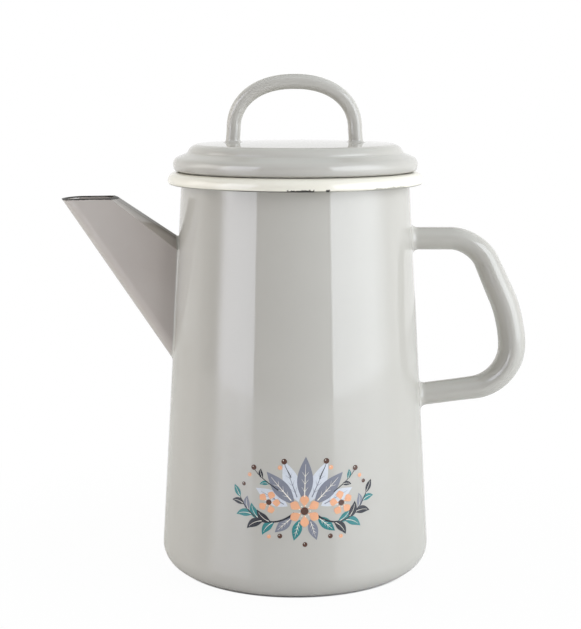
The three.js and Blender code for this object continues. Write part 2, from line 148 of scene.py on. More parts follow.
def tone(red, green, blue):  # a screen colour, 0 to 255, as Blender's linear one
    def linear(value):
        share = value / 255
        return share / 12.92 if share <= 0.04045 else ((share + 0.055) / 1.055) ** 2.4

    return (linear(red), linear(green), linear(blue), 1)


# Enamel: glass fired over steel. Where it is bare, the dark fired steel shows. The same steel colour is also
# laid on as painted shade where a piece's mask asks for it.
enamelLook = {
    "roughness": 0.05,
    "roughnessSpread": 0.02,
    "glassiness": 1.58,  # index of refraction
    "mottle": 0.28,  # how far the colour wanders
    "mottleScale": 26,  # per metre
    "mottleFade": (0.3, 0.7),
    "rippleScale": 210,
    "rippleHeight": 0.006 * mm,
    "waveScale": 30,
    "waveHeight": 0.035 * mm,
    "speckScale": 380,
    "speckSize": (0.036, 0.06),
    "speckShare": 0.2,
    "steelAndShade": tone(38, 33, 27),
    "bareRoughness": 0.5,
    "bareDepth": 0.04 * mm,
}


def enamel(name, colour, deeper, bareAndShadeAt=None):
    look = enamelLook
    material, bench, place = startMaterial(name)
    cloud = bench.noise(place, look["mottleScale"], 3.0)
    ripple = bench.noise(place, look["rippleScale"], 1.0)
    wave = bench.noise(place, look["waveScale"], 1.0)
    cells = bench.node("TexVoronoi", None, {"Vector": place, "Scale": look["speckScale"], "Randomness": 1.0})
    speck = (1 - cells.step(*look["speckSize"])) * look["speckShare"]
    paint = bench.mixed(cloud.step(*look["mottleFade"]) * look["mottle"], colour, deeper)
    paint = bench.mixed(speck, paint, look["steelAndShade"])
    rough = look["roughness"] + (cloud - 0.5) * look["roughnessSpread"]
    height = ripple * look["rippleHeight"] + wave * look["waveHeight"]
    if bareAndShadeAt:
        # the mask marks bare steel and, on some pieces, painted shade in the steel's colour
        bare = bareAndShadeAt(bench, place)
        paint = bench.mixed(bare, paint, look["steelAndShade"])
        rough = rough + bare * (look["bareRoughness"] - look["roughness"])
        height = height - bare * look["bareDepth"]
    relief = bench.node("Bump", None, {"Strength": 1.0, "Distance": 1.0, "Height": height})
    shader = bench.node("BsdfPrincipled", None, {
        "Base Color": paint, "Roughness": rough, "Normal": relief, "IOR": look["glassiness"],
    })
    bench.finish("Material", shader)
    material.diffuse_color = colour
    return material


grey = {"colour": tone(190, 187, 180), "deeper": tone(182, 179, 172)}
cream = {"colour": tone(238, 234, 221), "deeper": tone(231, 225, 209)}

# Main sizes of the body in millimetres, which the other pieces follow
body = {
    "baseRadius": 65.0, "mouthRadius": 53.8, "wallTop": 187.0, "panTop": 18.0, "sheet": 1.2,
    "turns": 256,  # steps round the axis
}
wallSlope = (body["baseRadius"] - body["mouthRadius"]) / body["wallTop"]
sharpAngle = math.radians(50)


def wallRadius(height):
    return body["baseRadius"] - wallSlope * height


def wallSurface(point):  # height above the wall, and the direction in which it rises
    radius = math.hypot(point.x, point.y)
    return radius - wallRadius(point.z), Vector((point.x / radius, point.y / radius, wallSlope))


def meet(surface, point, direction):
    # moves a point along a direction until it lies on a surface
    for _ in range(8):
        height, rise = surface(point)
        point = point - direction * (height / direction.dot(rise))
    return point


# Modelling steps
def hump(share):  # 0 at both ends, 1 halfway
    return 4 * share * (1 - share)


def drawLine(bm, corners, segments=12):
    # corners are (across, up) or (across, up, bend radius) in the XZ plane
    verts = [bm.verts.new((corner[0], 0, corner[1])) for corner in corners]
    for pair in zip(verts, verts[1:]):
        bm.edges.new(pair)
    for vert, corner in zip(verts, corners):
        if len(corner) < 3:
            continue
        sides = [edge.other_vert(vert).co - vert.co for edge in vert.link_edges]
        turn = math.pi - sides[0].angle(sides[1])
        bmesh.ops.bevel(
            bm, geom=[vert], offset=corner[2] * math.tan(turn / 2), offset_type="OFFSET",
            affect="VERTICES", segments=segments, profile=0.5, material=-1,
        )


def pointsAlong(bm):  # from the upper end of a line to its lower end
    here = max((vert for vert in bm.verts if len(vert.link_edges) == 1), key=lambda vert: vert.co.z)
    points, used = [here.co.copy()], None
    while True:
        ahead = [edge for edge in here.link_edges if edge is not used]
        if not ahead:
            return points
        used = ahead[0]
        here = used.other_vert(here)
        points.append(here.co.copy())


def faceOutwards(bm):
    bmesh.ops.recalc_face_normals(bm, faces=bm.faces)
    outermost = max(bm.faces, key=lambda face: math.hypot(*face.calc_center_median().xy))
    if outermost.normal.xy.dot(outermost.calc_center_median().xy) < 0:
        bmesh.ops.reverse_faces(bm, faces=bm.faces)


def turnedSheet(corners, stations=(), segments=12):
    # a line turned about the pot's axis; stations are heights that get a ring of their own
    bm = bmesh.new()
    drawLine(bm, corners, segments)
    bmesh.ops.spin(
        bm, geom=bm.verts[:] + bm.edges[:], axis=(0, 0, 1), cent=(0, 0, 0), dvec=(0, 0, 0),
        angle=math.tau, steps=body["turns"], use_merge=True,
    )
    bmesh.ops.remove_doubles(bm, verts=bm.verts, dist=0.001)
    for height in stations:
        geom = bm.verts[:] + bm.edges[:] + bm.faces[:]
        bmesh.ops.bisect_plane(bm, geom=geom, dist=0.0001, plane_co=(0, 0, height), plane_no=(0, 0, 1))
    faceOutwards(bm)
    return bm


def extrudeRing(bm, ring, points):
    edges = [bm.edges.get(pair) for pair in zip(ring, ring[1:] + ring[:1])]
    made = bmesh.ops.extrude_edge_only(bm, edges=edges)["geom"]
    fresh = {item for item in made if isinstance(item, bmesh.types.BMVert)}
    follow = [next(e.other_vert(v) for e in v.link_edges if e.other_vert(v) in fresh) for v in ring]
    for vert, point in zip(follow, points):
        vert.co = point
    return follow


def skinThrough(rings, closed):
    # a skin drawn from ring to ring; closed joins the last ring to the first, otherwise both ends are capped
    bm = bmesh.new()
    first = [bm.verts.new(point) for point in rings[0]]
    for pair in zip(first, first[1:] + first[:1]):
        bm.edges.new(pair)
    ring = first
    for points in rings[1:]:
        ring = extrudeRing(bm, ring, points)
    ends = [bm.edges.get(pair) for end in (first, ring) for pair in zip(end, end[1:] + end[:1])]
    if closed:
        bmesh.ops.bridge_loops(bm, edges=ends)
    else:
        bmesh.ops.contextual_create(bm, geom=first)
        bmesh.ops.contextual_create(bm, geom=ring)
    bmesh.ops.recalc_face_normals(bm, faces=bm.faces)
    return bm


def makeObject(name, bm):
    bmesh.ops.scale(bm, vec=(mm, mm, mm), verts=bm.verts)
    mesh = bpy.data.meshes.new(name)
    bm.to_mesh(mesh)
    bm.free()
    piece = bpy.data.objects.new(name, mesh)
    bpy.context.scene.collection.objects.link(piece)
    return piece


def addPin(bm, diameter, length, matrix):
    radius = diameter / 2
    bmesh.ops.create_cone(
        bm, cap_ends=True, segments=32, radius1=radius, radius2=radius, depth=length, matrix=matrix,
    )


def drill(piece, name, bm):
    # the cutter goes once the piece is settled
    cutter = makeObject(name, bm)
    cut = piece.modifiers.new(name, "BOOLEAN")
    cut.object = cutter
    cut.operation = "DIFFERENCE"
    cut.solver = "EXACT"
    return cutter


def thicken(piece, thickness, side=-1, innerSlot=0, edge=0):
    shell = piece.modifiers.new("sheet", "SOLIDIFY")
    shell.thickness = thickness * mm
    shell.offset = side
    shell.use_even_offset = True
    shell.use_quality_normals = True
    shell.material_offset = innerSlot
    shell.material_offset_rim = 0
    if not edge:
        return
    softened = piece.modifiers.new("edges", "BEVEL")
    softened.width = edge * mm
    softened.segments = 2
    softened.limit_method = "ANGLE"
    softened.angle_limit = math.radians(60)


def settle(piece, node, ridesOn, slot, *materials):
    # modifiers are applied, the shading is set and the piece takes the node's place
    for material in materials:
        piece.data.materials.append(material)
    bpy.context.view_layer.update()
    evaluated = piece.evaluated_get(bpy.context.evaluated_depsgraph_get())
    mesh = bpy.data.meshes.new_from_object(evaluated)
    piece.modifiers.clear()
    piece.data = mesh
    mesh.shade_smooth()
    mesh.set_sharp_from_angle(angle=sharpAngle)
    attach(piece, ridesOn)
    if node:
        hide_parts(node)
    return piece


greyEnamel = enamel("greyEnamel", **grey)
creamEnamel = enamel("creamEnamel", **cream)

# Side wall, with the strainer holes behind the spout
strainer = {
    "diameter": 4.6, "pitch": 6.8, "rows": 7, "wide": 3, "centre": 129.3, "drill": 12.0,
    "lowRing": 98.0, "highRing": 162.0,  # rings of the wall that keep the holes' faces apart from the rest
}

wallBm = turnedSheet(
    [(wallRadius(body["panTop"]), body["panTop"]), (wallRadius(body["wallTop"]), body["wallTop"])],
    stations=(strainer["lowRing"], strainer["highRing"]),
)
bodyWall = makeObject("bodyWall", wallBm)
thicken(bodyWall, body["sheet"], innerSlot=1)

holesBm = bmesh.new()
lyingDown = Matrix.Rotation(math.pi / 2, 4, "Y")
rowPitch = strainer["pitch"] * math.sin(math.pi / 3)
for row in range(strainer["rows"]):
    count = strainer["wide"] - row % 2
    height = strainer["centre"] + (row - (strainer["rows"] - 1) / 2) * rowPitch
    for column in range(count):
        across = (column - (count - 1) / 2) * strainer["pitch"]
        place = Matrix.Translation((-wallRadius(height), across, height))
        addPin(holesBm, strainer["diameter"], strainer["drill"], place @ lyingDown)
holes = drill(bodyWall, "strainerCutters", holesBm)
settle(bodyWall, "side_wall", "pot", "grey_enamel", greyEnamel, creamEnamel)
bpy.data.objects.remove(holes)
print("side wall:", len(bodyWall.data.polygons), "faces")

# Base pan, drawn in one line with the wall, with a stiffening ring pressed up into its floor
pan = {
    "corner": 11.0,
    "beadRadius": 43.0, "beadWidth": 7.0, "beadDepth": 1.0, "beadSlope": 1.6, "beadBend": 1.2,
}

beadInner = pan["beadRadius"] - pan["beadWidth"] / 2
beadOuter = pan["beadRadius"] + pan["beadWidth"] / 2
panBm = turnedSheet([
    (0, 0),
    (beadInner - pan["beadSlope"], 0, pan["beadBend"]),
    (beadInner, pan["beadDepth"], pan["beadBend"]),
    (beadOuter, pan["beadDepth"], pan["beadBend"]),
    (beadOuter + pan["beadSlope"], 0, pan["beadBend"]),
    (wallRadius(0), 0, pan["corner"]),
    (wallRadius(body["panTop"]), body["panTop"]),
], segments=16)
basePan = makeObject("basePan", panBm)
thicken(basePan, body["sheet"], innerSlot=1)
settle(basePan, "base_pan", "pot", "grey_enamel", greyEnamel, creamEnamel)

# Rim ring: rolled outwards, with a turned-in lower edge where the enamel is chipped and painted shade lies
# under the lip
rim = {
    "crestRadius": 53.02, "crestTop": 190.0, "crestBend": 1.5, "edgeRadius": 59.72, "drop": 0.6,
    "shoulderBend": 3.7, "bottom": 185.1, "lipBend": 0.8, "lip": 2.0, "softEdge": 0.3,
    # where the enamel is chipped off: heights in millimetres, noise per metre, and spans in radians from the
    # front towards the handle, with their softness last
    "chipLine": 185.4, "chipReach": 1.1, "chipSoft": 0.12, "chipScale": 900,
    "frontSpan": (-0.07, 0.14, 0.01), "patchScale": 300, "patchFade": (0.36, 0.44),
    "singleChip": (0.215, 0.255, 0.01), "faintSpan": (0.60, 0.98, 0.04), "faintShare": 0.5,
    "backFrom": (1.1, 1.2), "backScale": 34, "backFade": (0.60, 0.68),
    # the dark line along the lower edge, bare steel at the raw edge with painted shade under the lip laid on
    # it, and where it is stronger or weaker
    "edgeLine": 184.85, "edgeSoft": 0.3, "edgeShare": 0.62,
    "edgeShadeChanges": [(0.3, (-0.6, 0.26, 0.2)), (-0.25, (0.3, 0.62, 0.1))],
}


def rimChipsAndShade(bench, place):
    across, depth, height = bench.axes(place)
    angle = across.bearing(0 - depth)

    def between(start, end, soft):
        return angle.step(start, start + soft) * (1 - angle.step(end - soft, end))

    patchy = bench.noise(place, rim["patchScale"], 1.0).step(*rim["patchFade"])
    atBack = bench.noise(place, rim["backScale"], 1.0).step(*rim["backFade"])
    atBack = atBack * angle.unsigned().step(*rim["backFrom"])
    where = (between(*rim["frontSpan"]) * patchy).larger(between(*rim["singleChip"])).larger(atBack * patchy)
    where = where.larger(between(*rim["faintSpan"]) * rim["faintShare"])
    ragged = bench.noise(place, rim["chipScale"], 2.0, 0.6)
    line = rim["chipLine"] * mm + (ragged - 0.5) * rim["chipReach"] * 2 * mm
    chips = where * (1 - ((height - line) / (rim["chipSoft"] * mm)).step(0, 1))
    # the dark line under the lip: bare steel at the raw edge, with painted shade
    edge = 1 - ((height - rim["edgeLine"] * mm) / (rim["edgeSoft"] * mm)).step(0, 1)
    edgeShare = rim["edgeShare"]
    for change, span in rim["edgeShadeChanges"]:
        edgeShare = edgeShare + between(*span) * change
    return chips.larger(edge * edgeShare)


creamRim = enamel("creamRim", cream["colour"], cream["deeper"], rimChipsAndShade)
rimBm = turnedSheet([
    (wallRadius(body["wallTop"]) - body["sheet"] / 2, body["wallTop"]),
    (rim["crestRadius"], rim["crestTop"], rim["crestBend"]),
    (rim["edgeRadius"], rim["crestTop"] - rim["drop"], rim["shoulderBend"]),
    (rim["edgeRadius"], rim["bottom"], rim["lipBend"]),
    (rim["edgeRadius"] - rim["lip"], rim["bottom"]),
])
rimRing = makeObject("rimRing", rimBm)
thicken(rimRing, body["sheet"], side=0, edge=rim["softEdge"])
settle(rimRing, "rim_ring", "pot", "cream_enamel", creamRim)
print("base and rim done")

# Spout: drawn from the outline of its mouth to the outline of its root, and trimmed to the wall
spout = {
    "tip": (-110.7, 177.3), "heel": (-83.8, 177.9), "rootLow": (-58.99, 100.4), "rootHigh": (-55.47, 159.1),
    "mouthWidth": 19.6, "mouthNose": 7.5, "mouthBack": 3.0, "mouthArch": 0.3,
    "rootWidth": 22.5, "rootNose": 11.8, "rootBack": 5.0, "backRidge": 1.3,
    "crease": 0.7, "creaseTurn": 0.25, "sheet": 1.1, "around": 96, "along": 56, "weld": 1.4,
    "bareReach": 0.42, "bareRagged": (0.5, 1.4), "bareScale": 620, "bareSoft": 0.12,
    # painted shade: how far along the back seam and out from the wall the steel colour is mixed in, and how
    # much
    "seamShadeReach": 2.4, "seamShadeShare": 0.6, "rootShadeReach": 12.0, "rootShadeShare": 0.12,
    # painted shade: the body's grey tinted mauve, a little darker in its deeper tone, for the shaded look of
    # the spout's cheeks
    "colour": tone(192, 185, 179), "deeper": tone(184, 174, 168),
}


def inPlane(pair):
    return Vector((pair[0], 0, pair[1]))


def spoutRing(low, high, width, nose, back, otherLow, otherHigh, inset):
    # a rounded nose at the low point, straight cheeks and a back that bows out, shaped from a circle
    axis = (high - low).normalized()
    lowInset = inset / math.sin(axis.angle(otherLow - low))
    length = (high - low).length - lowInset - inset / math.sin(axis.angle(otherHigh - high))
    half = width / 2 - inset
    bm = bmesh.new()
    circle = bmesh.ops.create_circle(bm, cap_ends=False, segments=spout["around"], radius=1)["verts"]
    points = []
    for vert in circle:
        along, across = vert.co.x, vert.co.y
        if along <= 0:
            shift = nose + nose * along
        else:
            shift = length - back * abs(across) ** spout["backRidge"]
        points.append(low + axis * (shift + lowInset) + Vector((0, half * across, 0)))
    bm.free()
    return points


def spoutRings(inset):
    tip, heel, rootLow, rootHigh = (inPlane(spout[key]) for key in ("tip", "heel", "rootLow", "rootHigh"))
    mouth = spoutRing(
        tip, heel, spout["mouthWidth"], spout["mouthNose"], spout["mouthBack"], rootLow, rootHigh, inset,
    )
    for point in mouth:
        share = (point.x - tip.x) / (heel.x - tip.x)
        point.z += spout["mouthArch"] * hump(share)
    root = spoutRing(
        rootLow, rootHigh, spout["rootWidth"], spout["rootNose"], spout["rootBack"], tip, heel, inset,
    )
    foot = [meet(wallSurface, low, (low - high).normalized()) for high, low in zip(mouth, root)]
    steps = spout["along"]
    return [[high.lerp(low, i / steps) for high, low in zip(mouth, foot)] for i in range(steps + 1)]


def spoutEdgeAndShade(bench, place):
    # Bare steel along the mouth's edge, measured down from the mouth's arched line. Along the seam at the
    # back and next to the wall the steel's colour is mixed in as painted shade.
    tip, heel, rootHigh = (inPlane(spout[key]) * mm for key in ("tip", "heel", "rootHigh"))
    across, depth, height = bench.axes(place)
    share = (across - tip.x) / (heel.x - tip.x)
    arched = spout["mouthArch"] * mm * hump(share)
    below = tip.z + share * (heel.z - tip.z) + arched - height
    least, spread = spout["bareRagged"]
    ragged = least + bench.noise(place, spout["bareScale"], 2.0, 0.6) * spread
    reach = spout["bareReach"] * mm * ragged
    lip = 1 - ((below - reach) / (spout["bareSoft"] * mm)).step(0, 1)
    # painted shade along the back seam and next to the wall
    run = (rootHigh - heel).normalized()
    under = (across - heel.x) * run.z - (height - heel.z) * run.x
    seam = (1 - under.step(0, spout["seamShadeReach"] * mm)) * spout["seamShadeShare"]
    fromAxis = (across * across + depth * depth).root()
    fromWall = fromAxis - body["baseRadius"] * mm + height * wallSlope
    wallShade = (1 - fromWall.step(0, spout["rootShadeReach"] * mm)) * spout["rootShadeShare"]
    return lip.larger(seam).larger(wallShade)


spoutEnamel = enamel("spoutEnamel", spout["colour"], spout["deeper"], spoutEdgeAndShade)
outside, inside = spoutRings(0), spoutRings(spout["sheet"])
backSides = [max(ring, key=lambda point: point.y) for ring in outside]


def inSkin(edge):  # whether an edge runs down the outer skin where a cheek turns into the back
    ends = [Vector((vert.co.x, abs(vert.co.y), vert.co.z)) for vert in edge.verts]
    return all(min((end - side).length for side in backSides) < 0.01 for end in ends)


spoutBm = skinThrough(outside[::-1] + inside, closed=True)
creases = [edge for edge in spoutBm.edges if edge.calc_face_angle(0) > spout["creaseTurn"] and inSkin(edge)]
bmesh.ops.bevel(
    spoutBm, geom=creases, offset=spout["crease"], offset_type="OFFSET",
    affect="EDGES", segments=3, profile=0.5, material=-1,
)
spoutShell = makeObject("spoutShell", spoutBm)
settle(spoutShell, "spout", "pot", "grey_enamel", spoutEnamel)


# Weld beads: a hollow face from the carrier's skin up onto the piece's own
def filletRings(foot, skin, surface, leg, steps=8):
    # foot is the ring where the piece meets the carrier, skin the direction up the piece at each point
    middle = sum(foot, Vector()) / len(foot)
    rings = [[] for _ in range(steps + 2)]
    for k, point in enumerate(foot):
        floor = surface(point)[1].normalized()
        out = (foot[(k + 1) % len(foot)] - foot[k - 1]).cross(floor).normalized()
        if out.dot(point - middle) < 0:
            out = -out
        top, toe = point + skin[k] * leg, point + out * leg
        toe = meet(surface, toe, floor)
        rings[0].append(point - floor * 0.05)  # sunk a little into the carrier
        for i in range(steps + 1):
            share = i / steps
            nearPoint = 2 * share * (1 - share)
            rings[i + 1].append(top * (1 - share) ** 2 + point * nearPoint + toe * share ** 2)
    return rings


def weldFillet(name, node, ridesOn, foot, skin, surface, leg):
    piece = makeObject(name, skinThrough(filletRings(foot, skin, surface, leg), closed=True))
    return settle(piece, node, ridesOn, "grey_enamel", greyEnamel)


spoutSkin = [(high - low).normalized() for high, low in zip(outside[0], outside[-1])]
weldFillet("spoutFillet", "spout_weld", "pot", outside[-1], spoutSkin, wallSurface, spout["weld"])
print("spout done")

# Loop handle: a tube along a bent line, swelling from the wall towards the grip
handle = {
    "top": 158.34, "bar": 30.7, "reach": 48.55, "kneeDrop": 39.4, "cornerDrop": 69.9, "slope": 7.45,
    "upperBend": 19.2, "kneeBend": 56.5, "lowerBend": 20.5, "overrun": 5.0,
    "endSize": (10.7, 14.0), "gripSize": (12.9, 19.0), "swellStart": 16.8, "swellLength": 44.0,
    "outer": (2.05, 2.05), "inner": (1.7, 2.0), "around": 80, "step": 1.2,
    "sheet": 1.0, "weld": 3.0, "vent": 3.0, "ventInset": 27.0, "ventDrill": 10.0,
}


def barRings(points, size, section):
    # a unit ring carried to each point of a line in the XZ plane, at its size there
    rings = []
    for i, point in enumerate(points):
        before = points[max(i - 1, 0)]
        after = points[min(i + 1, len(points) - 1)]
        along = (after - before).normalized()
        outward = Vector((-along.z, 0, along.x))
        height, width = size(i)
        columns = Matrix((outward * height / 2, Vector((0, width / 2, 0)), along)).transposed().to_4x4()
        station = Matrix.Translation(point) @ columns
        rings.append([station @ spot for spot in section])
    return rings


def unitRing(around, outer, inner):
    # a circle squared off by its outer exponents (outward, across); inner ones under 2 draw it to a ridge
    bm = bmesh.new()
    circle = bmesh.ops.create_circle(bm, cap_ends=False, segments=around, radius=1)["verts"]
    ring = []
    for vert in circle:
        powers = [2 / exponent for exponent in (outer if vert.co.x > 0 else inner) + (2,)]
        shaped = [math.copysign(abs(value) ** power, value) for value, power in zip(vert.co, powers)]
        ring.append(Vector(shaped))
    bm.free()
    return ring


def smoothRise(value, start, length):
    share = min(max((value - start) / length, 0), 1)
    return share * share * (3 - 2 * share)


gripRadius = wallRadius(handle["top"]) + handle["reach"]
lowerCorner = handle["top"] - handle["cornerDrop"]
lowerEnd = wallRadius(lowerCorner) - handle["overrun"]
barFall = math.tan(math.radians(handle["slope"]))

lineBm = bmesh.new()
drawLine(lineBm, [
    (wallRadius(handle["top"]) - handle["overrun"], handle["top"]),
    (wallRadius(handle["top"]) + handle["bar"], handle["top"], handle["upperBend"]),
    (gripRadius, handle["top"] - handle["kneeDrop"], handle["kneeBend"]),
    (gripRadius, lowerCorner, handle["lowerBend"]),
    (lowerEnd, lowerCorner - (gripRadius - lowerEnd) * barFall),
], segments=24)
bmesh.ops.remove_doubles(lineBm, verts=lineBm.verts, dist=handle["step"] / 8)
for edge in list(lineBm.edges):
    cuts = math.ceil(edge.calc_length() / handle["step"]) - 1
    if cuts > 0:
        bmesh.ops.subdivide_edges(lineBm, edges=[edge], cuts=cuts)
handleLine = pointsAlong(lineBm)
lineBm.free()
handleRun = [0.0]
for here, ahead in zip(handleLine, handleLine[1:]):
    handleRun.append(handleRun[-1] + (ahead - here).length)


def handleSize(i):
    fromWall = min(handleRun[i], handleRun[-1] - handleRun[i]) - handle["overrun"]
    swell = smoothRise(fromWall, handle["swellStart"], handle["swellLength"])
    return [end + (grip - end) * swell for end, grip in zip(handle["endSize"], handle["gripSize"])]


def trimmed(rings, surface):
    # drops the sections inside the carrier and carries the end ones onto its surface
    def outside(points):
        return all(surface(point)[0] > 0.2 for point in points)  # clear of it by 0.2 mm

    kept = [i for i, points in enumerate(rings) if outside(points)]
    first, last = kept[0], kept[-1]
    ends = []
    for here, beyond in ((first, first - 1), (last, last + 1)):
        ends.append([meet(surface, a, (b - a).normalized()) for a, b in zip(rings[here], rings[beyond])])
    return [ends[0]] + rings[first:last + 1] + [ends[1]]


handleSection = unitRing(handle["around"], handle["outer"], handle["inner"])
handleRings = trimmed(barRings(handleLine, handleSize, handleSection), wallSurface)
handleBm = skinThrough(handleRings, closed=False)
caps = [face for face in handleBm.faces if len(face.verts) == handle["around"]]
bmesh.ops.delete(handleBm, geom=caps, context="FACES_ONLY")
loopHandle = makeObject("loopHandle", handleBm)
thicken(loopHandle, handle["sheet"])
ventBm = bmesh.new()
ventPlace = gripRadius - handle["ventInset"]
ventHeight = lowerCorner - handle["ventInset"] * barFall - handle["gripSize"][0] / 2
addPin(ventBm, handle["vent"], handle["ventDrill"], Matrix.Translation((ventPlace, 0, ventHeight)))
vent = drill(loopHandle, "ventCutter", ventBm)
settle(loopHandle, "handle", "pot", "grey_enamel", greyEnamel)
bpy.data.objects.remove(vent)


def skinUp(rings):  # direction up the piece's skin from its end ring
    return [(above - foot).normalized() for foot, above in zip(*rings)]


for name, node, ends in (
    ("handleFilletUpper", "handle_weld_upper", handleRings[:2]),
    ("handleFilletLower", "handle_weld_lower", handleRings[:-3:-1]),
):
    weldFillet(name, node, "pot", ends[0], skinUp(ends), wallSurface, handle["weld"])
print("handle done")

# Lid: crown, step, valley and rolled edge in one pressing
lid = {
    "sheet": 1.0, "softEdge": 0.25,
    "crownTop": 204.2, "crownSpan": 39.82, "crownFall": 2.3, "crownSteps": 16,
    "stepRadius": 49.42, "stepTop": 203.02, "stepBend": 5.2,
    "valleyRadius": 50.92, "valleyTop": 199.1, "valleyBend": 1.6,
    "radius": 57.82, "flare": 0.42, "rollTop": 196.1, "rollBend": 3.6,
    # the last two give the painted shade towards the foot: its height above the foot and its strength
    "footInset": 0.6, "foot": 190.7, "footBend": 1.5, "lip": 2.2, "footShadeReach": 3.4, "edgeShare": 0.16,
}
crownBend = lid["crownSpan"] / math.sin(math.radians(lid["crownFall"]))
crownCentre = Vector((0, 0, lid["crownTop"] - crownBend))


def crownSurface(point):
    away = point - crownCentre
    return away.length - crownBend, away.normalized()


crownLine = []
for i in range(lid["crownSteps"] + 1):
    angle = math.radians(lid["crownFall"]) * i / lid["crownSteps"]
    crownLine.append((crownBend * math.sin(angle), crownCentre.z + crownBend * math.cos(angle)))
lidBm = turnedSheet(crownLine + [
    (lid["stepRadius"], lid["stepTop"], lid["stepBend"]),
    (lid["valleyRadius"], lid["valleyTop"], lid["valleyBend"]),
    (lid["radius"] + lid["flare"], lid["rollTop"], lid["rollBend"]),
    (lid["radius"] - lid["footInset"], lid["foot"], lid["footBend"]),
    (lid["radius"] - lid["lip"], lid["foot"]),
], segments=14)
lidDome = makeObject("lidDome", lidBm)


def lidFootShade(bench, place):  # painted shade: the steel colour mixed in towards the turned-in edge
    aboveFoot = bench.axes(place)[2] - lid["foot"] * mm
    return (1 - aboveFoot.step(0, lid["footShadeReach"] * mm)) * lid["edgeShare"]


lidEnamel = enamel("lidEnamel", grey["colour"], grey["deeper"], lidFootShade)
thicken(lidDome, lid["sheet"], innerSlot=1, edge=lid["softEdge"])
settle(lidDome, "lid_dome", "lid", "grey_enamel", lidEnamel, creamEnamel)

# Collar under the lid
collar = {
    "radius": 51.52, "top": 197.42, "foot": 176.6, "sheet": 1.0, "softEdge": 0.3,
    "taper": 0.8, "taperLength": 3.0, "bend": 6.0,
}

collarBm = turnedSheet([
    (collar["radius"], collar["top"]),
    (collar["radius"], collar["foot"] + collar["taperLength"], collar["bend"]),
    (collar["radius"] - collar["taper"], collar["foot"]),
])
lidCollar = makeObject("lidCollar", collarBm)
thicken(lidCollar, collar["sheet"], edge=collar["softEdge"])
settle(lidCollar, "lid_collar", "lid_seat", "cream_enamel", creamEnamel)

# Bow handle of the lid
bow = {
    "leg": 5.4, "rise": 22.5, "footRadius": 29.4, "springRadius": 28.55, "offset": 0.5, "overrun": 5.0,
    "footThickness": 6.7, "topThickness": 7.1, "width": 11.0, "section": (2.5, 2.5), "archExponent": 2.22,
    "steps": 144, "legSteps": 6, "around": 64, "weld": 1.8,
}
springHeight = lid["crownTop"] + bow["leg"]
bowFoot = lid["crownTop"] - bow["overrun"]
power = 2 / bow["archExponent"]
arch = []
for i in range(bow["steps"] + 1):
    angle = math.pi * (1 - i / bow["steps"])
    across = math.copysign(abs(math.cos(angle)) ** power, math.cos(angle))
    up = abs(math.sin(angle)) ** power
    arch.append(Vector((bow["springRadius"] * across - bow["offset"], 0, springHeight + bow["rise"] * up)))
leftFoot = Vector((-bow["footRadius"] - bow["offset"], 0, bowFoot))
rightFoot = Vector((bow["footRadius"] - bow["offset"], 0, bowFoot))
leftLeg = [leftFoot.lerp(arch[0], i / bow["legSteps"]) for i in range(bow["legSteps"])]
rightLeg = [arch[-1].lerp(rightFoot, (i + 1) / bow["legSteps"]) for i in range(bow["legSteps"])]
bowLine = leftLeg + arch + rightLeg


def bowSize(i):
    share = max(0, bowLine[i].z - springHeight) / bow["rise"]
    return bow["footThickness"] + (bow["topThickness"] - bow["footThickness"]) * share, bow["width"]


bowSection = unitRing(bow["around"], bow["section"], bow["section"])
bowRings = trimmed(barRings(bowLine, bowSize, bowSection), crownSurface)
bowHandle = makeObject("bowHandle", skinThrough(bowRings, closed=False))
settle(bowHandle, "lid_handle", "lid", "grey_enamel", greyEnamel)
for name, node, ends in (
    ("bowFilletLeft", "lid_handle_weld_left", bowRings[:2]),
    ("bowFilletRight", "lid_handle_weld_right", bowRings[:-3:-1]),
):
    weldFillet(name, node, "lid", ends[0], skinUp(ends), crownSurface, bow["weld"])
print("lid done")

# Print on the front: a spray of leaves, berries and blossoms in thin fired colour, wrapped onto the wall
inkLook = {
    "wash": 0.3, "washScale": 160, "washFade": (0.3, 0.7),
    "grain": 0.12, "grainScale": 1500, "grainFade": (0.45, 0.6),
    "palerTimes": 1.25, "palerPlus": 0.03, "roughness": 0.22, "glassiness": 1.5,
}
inks = {  # colour, and how far its face stands above the wall in millimetres
    "pale": (tone(204, 208, 216), 0.04),
    "slate": (tone(124, 127, 140), 0.06),
    "teal": (tone(44, 124, 126), 0.08),
    "navy": (tone(40, 42, 50), 0.1),
    "peach": (tone(230, 170, 132), 0.12),
    "brown": (tone(86, 56, 45), 0.14),
    "cream": (tone(238, 232, 220), 0.16),
}
